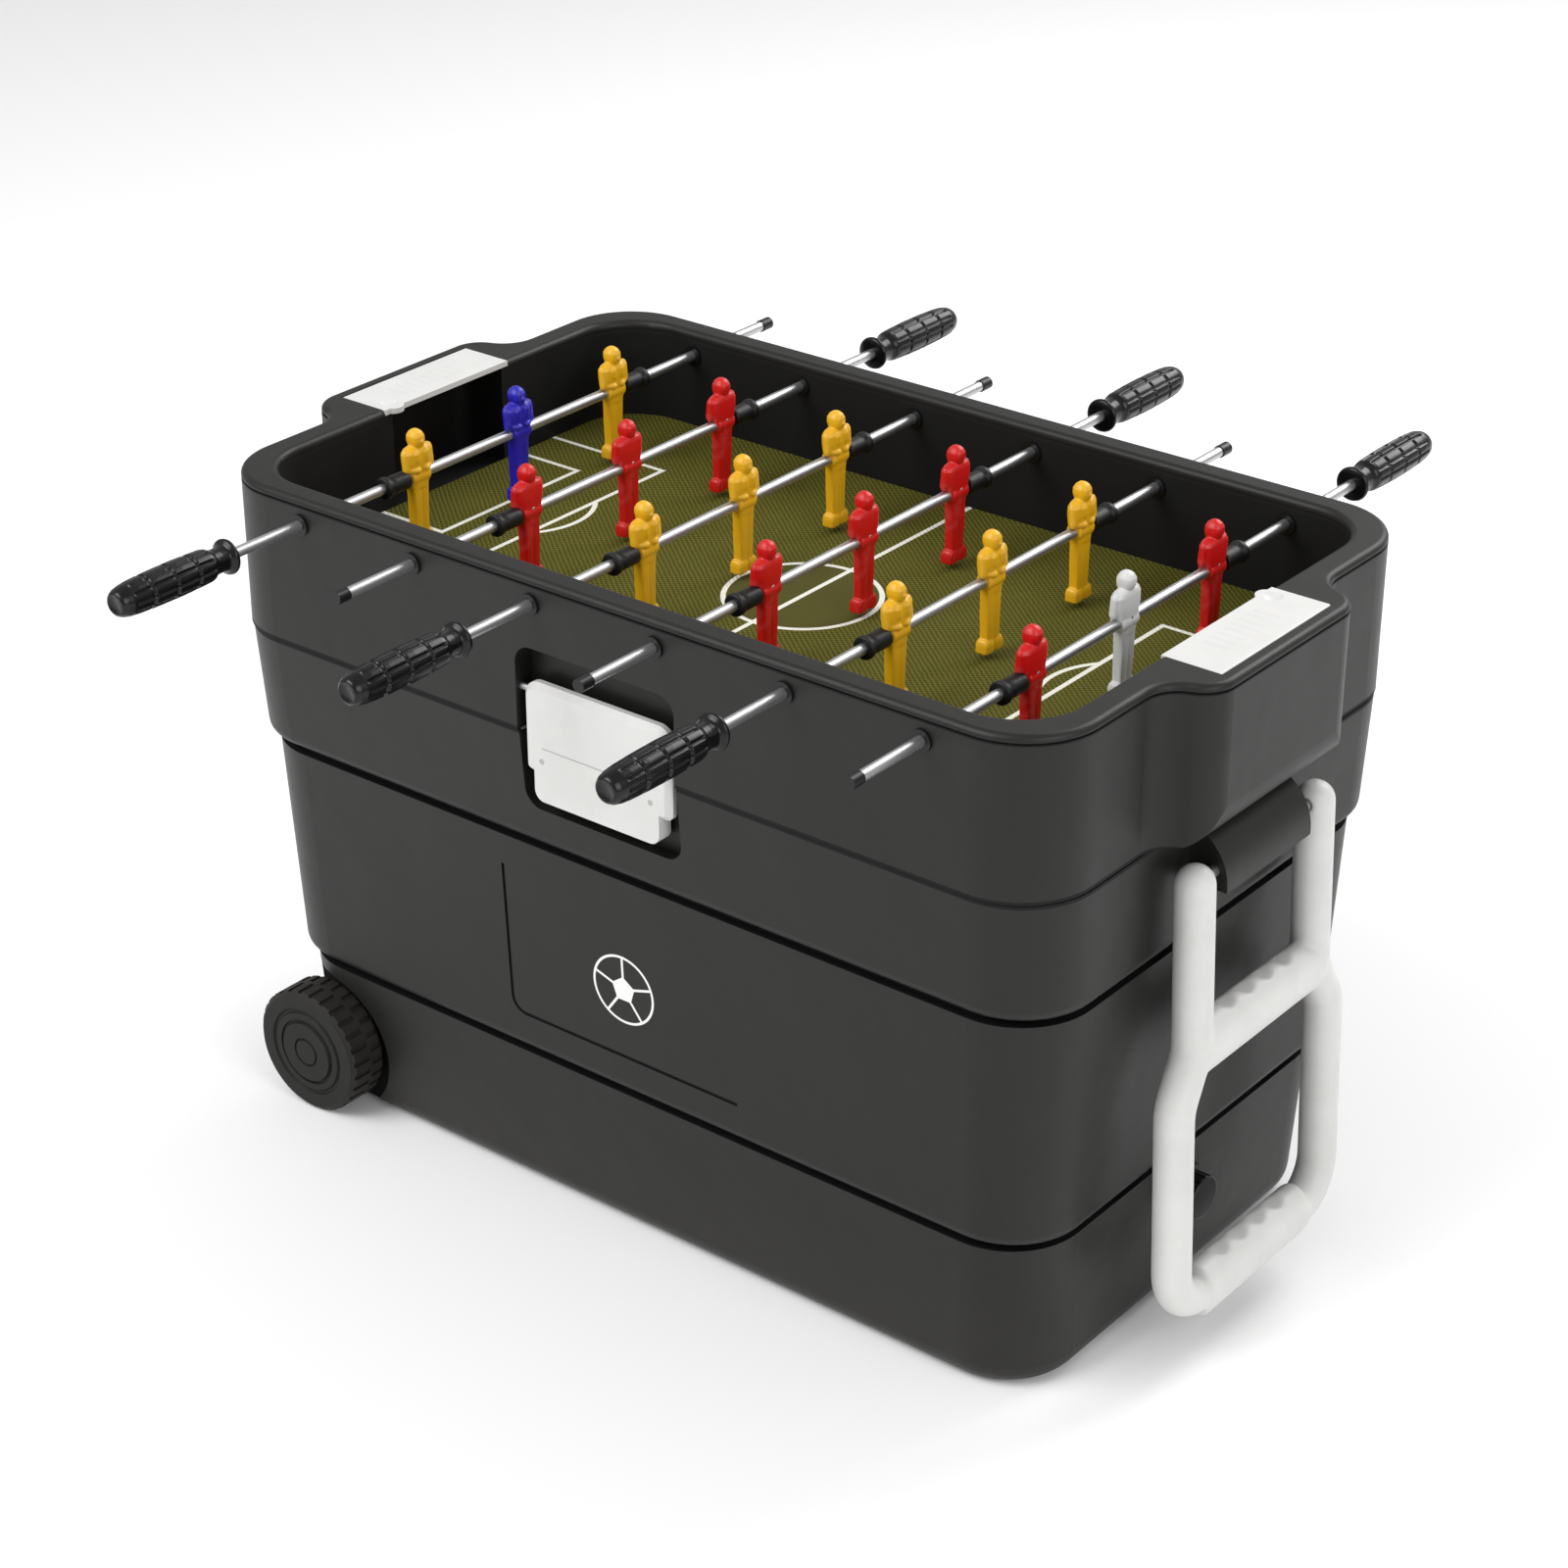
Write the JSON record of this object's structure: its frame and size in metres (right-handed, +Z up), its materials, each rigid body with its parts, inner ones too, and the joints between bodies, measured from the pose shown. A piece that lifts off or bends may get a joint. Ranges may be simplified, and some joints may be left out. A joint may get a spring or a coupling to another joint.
{
  "type": "foosball table cooler chest",
  "caption": "Foosball table built into the hinged lid of a wheeled cooler chest, with sliding player rods, goal covers, a latch and a tow handle.",
  "frame": {"origin": "centre of the chest's flat base, on the floor", "axes": "+X towards the tow handle end, -Y towards the latch, +Z up"},
  "size_m": [0.7828, 0.776, 0.5206],
  "materials": {
    "charcoal_shell": "matte",
    "white_plastic": "satin",
    "liner_plastic": "satin",
    "foam": "matte",
    "black_plastic": "satin",
    "grip_black": "gloss",
    "bumper_rubber": "matte",
    "wheel_rubber": "matte",
    "seal_rubber": "matte",
    "rod_steel": "polished",
    "pin_steel": "satin",
    "turf": "matte",
    "yellow_player": "gloss",
    "red_player": "gloss",
    "blue_player": "gloss",
    "white_player": "gloss"
  },
  "bodies": {
    "root": {"body_shell": "charcoal_shell", "chest_foam": "foam", "chest_liner": "liner_plastic", "base_pads": "bumper_rubber", "axle": "pin_steel", "drain_fitting": "black_plastic", "handle_bracket": "charcoal_shell", "handle_pin": "pin_steel", "hinge_body_leaves": "pin_steel", "hinge_pins": "pin_steel", "latch_keeper": "white_plastic"},
    "lid": {"lid_shell": "charcoal_shell", "lid_foam": "foam", "lid_liner": "liner_plastic", "lid_seal": "seal_rubber", "playfield": "turf", "rod_bushings": "black_plastic", "hinge_lid_leaves": "pin_steel", "latch_pin": "pin_steel", "cover_pins": "pin_steel"},
    "latch": {"latch": "white_plastic"},
    "left_cover": {"left_goal_cover": "white_plastic"},
    "right_cover": {"right_goal_cover": "white_plastic"},
    "handle": {"pull_handle": "white_plastic"},
    "front_wheel": {"front_wheel": "wheel_rubber"},
    "back_wheel": {"back_wheel": "wheel_rubber"},
    "drain_cap": {"drain_cap": "black_plastic"},
    "slider_1": {"bumpers_1": "bumper_rubber"},
    "player_rod_1": {"rod_1": "rod_steel", "men_1": "yellow_player", "grip_1": "grip_black", "end_cap_1": "black_plastic", "left_goalkeeper": "blue_player"},
    "slider_2": {"bumpers_2": "bumper_rubber"},
    "player_rod_2": {"rod_2": "rod_steel", "men_2": "red_player", "grip_2": "grip_black", "end_cap_2": "black_plastic"},
    "slider_3": {"bumpers_3": "bumper_rubber"},
    "player_rod_3": {"rod_3": "rod_steel", "men_3": "yellow_player", "grip_3": "grip_black", "end_cap_3": "black_plastic"},
    "slider_4": {"bumpers_4": "bumper_rubber"},
    "player_rod_4": {"rod_4": "rod_steel", "men_4": "red_player", "grip_4": "grip_black", "end_cap_4": "black_plastic"},
    "slider_5": {"bumpers_5": "bumper_rubber"},
    "player_rod_5": {"rod_5": "rod_steel", "men_5": "yellow_player", "grip_5": "grip_black", "end_cap_5": "black_plastic"},
    "slider_6": {"bumpers_6": "bumper_rubber"},
    "player_rod_6": {"rod_6": "rod_steel", "men_6": "red_player", "grip_6": "grip_black", "end_cap_6": "black_plastic", "right_goalkeeper": "white_player"}
  },
  "joints": [
    {"name": "lid_hinge", "type": "hinge", "parent": "root", "child": "lid", "pos_m": [0, 0.224, 0.39], "axis": [-1, 0, 0], "range_deg": [0, 95]},
    {"name": "latch_swing", "type": "hinge", "parent": "lid", "child": "latch", "pos_m": [0, -0.2135, 0.421], "axis": [-1, 0, 0], "range_deg": [0, 90]},
    {"name": "left_cover_lift", "type": "hinge", "parent": "lid", "child": "left_cover", "pos_m": [-0.373, 0, 0.503], "axis": [0, -1, 0], "range_deg": [0, 90]},
    {"name": "right_cover_lift", "type": "hinge", "parent": "lid", "child": "right_cover", "pos_m": [0.373, 0, 0.503], "axis": [0, 1, 0], "range_deg": [0, 90]},
    {"name": "handle_swing", "type": "hinge", "parent": "root", "child": "handle", "pos_m": [0.37, 0, 0.361], "axis": [0, -1, 0], "range_deg": [0, 110]},
    {"name": "front_wheel_turn", "type": "hinge", "parent": "root", "child": "front_wheel", "pos_m": [-0.299, -0.199, 0.049], "axis": [0, 1, 0], "continuous": true},
    {"name": "back_wheel_turn", "type": "hinge", "parent": "root", "child": "back_wheel", "pos_m": [-0.299, 0.199, 0.049], "axis": [0, 1, 0], "continuous": true},
    {"name": "drain_cap_turn", "type": "hinge", "parent": "root", "child": "drain_cap", "pos_m": [0.34, 0, 0.077], "axis": [1, 0, 0], "range_deg": [0, 540]},
    {"name": "rod_slide_1", "type": "slide", "parent": "lid", "child": "slider_1", "axis": [0, 1, 0], "range_m": [-0.056, 0.056]},
    {"name": "rod_spin_1", "type": "hinge", "parent": "slider_1", "child": "player_rod_1", "pos_m": [-0.2625, 0, 0.486], "axis": [0, 1, 0], "continuous": true},
    {"name": "rod_slide_2", "type": "slide", "parent": "lid", "child": "slider_2", "axis": [0, 1, 0], "range_m": [-0.056, 0.056]},
    {"name": "rod_spin_2", "type": "hinge", "parent": "slider_2", "child": "player_rod_2", "pos_m": [-0.1575, 0, 0.486], "axis": [0, 1, 0], "continuous": true},
    {"name": "rod_slide_3", "type": "slide", "parent": "lid", "child": "slider_3", "axis": [0, 1, 0], "range_m": [-0.056, 0.056]},
    {"name": "rod_spin_3", "type": "hinge", "parent": "slider_3", "child": "player_rod_3", "pos_m": [-0.0525, 0, 0.486], "axis": [0, 1, 0], "continuous": true},
    {"name": "rod_slide_4", "type": "slide", "parent": "lid", "child": "slider_4", "axis": [0, 1, 0], "range_m": [-0.056, 0.056]},
    {"name": "rod_spin_4", "type": "hinge", "parent": "slider_4", "child": "player_rod_4", "pos_m": [0.0525, 0, 0.486], "axis": [0, 1, 0], "continuous": true},
    {"name": "rod_slide_5", "type": "slide", "parent": "lid", "child": "slider_5", "axis": [0, 1, 0], "range_m": [-0.056, 0.056]},
    {"name": "rod_spin_5", "type": "hinge", "parent": "slider_5", "child": "player_rod_5", "pos_m": [0.1575, 0, 0.486], "axis": [0, 1, 0], "continuous": true},
    {"name": "rod_slide_6", "type": "slide", "parent": "lid", "child": "slider_6", "axis": [0, 1, 0], "range_m": [-0.056, 0.056]},
    {"name": "rod_spin_6", "type": "hinge", "parent": "slider_6", "child": "player_rod_6", "pos_m": [0.2625, 0, 0.486], "axis": [0, 1, 0], "continuous": true}
  ]
}
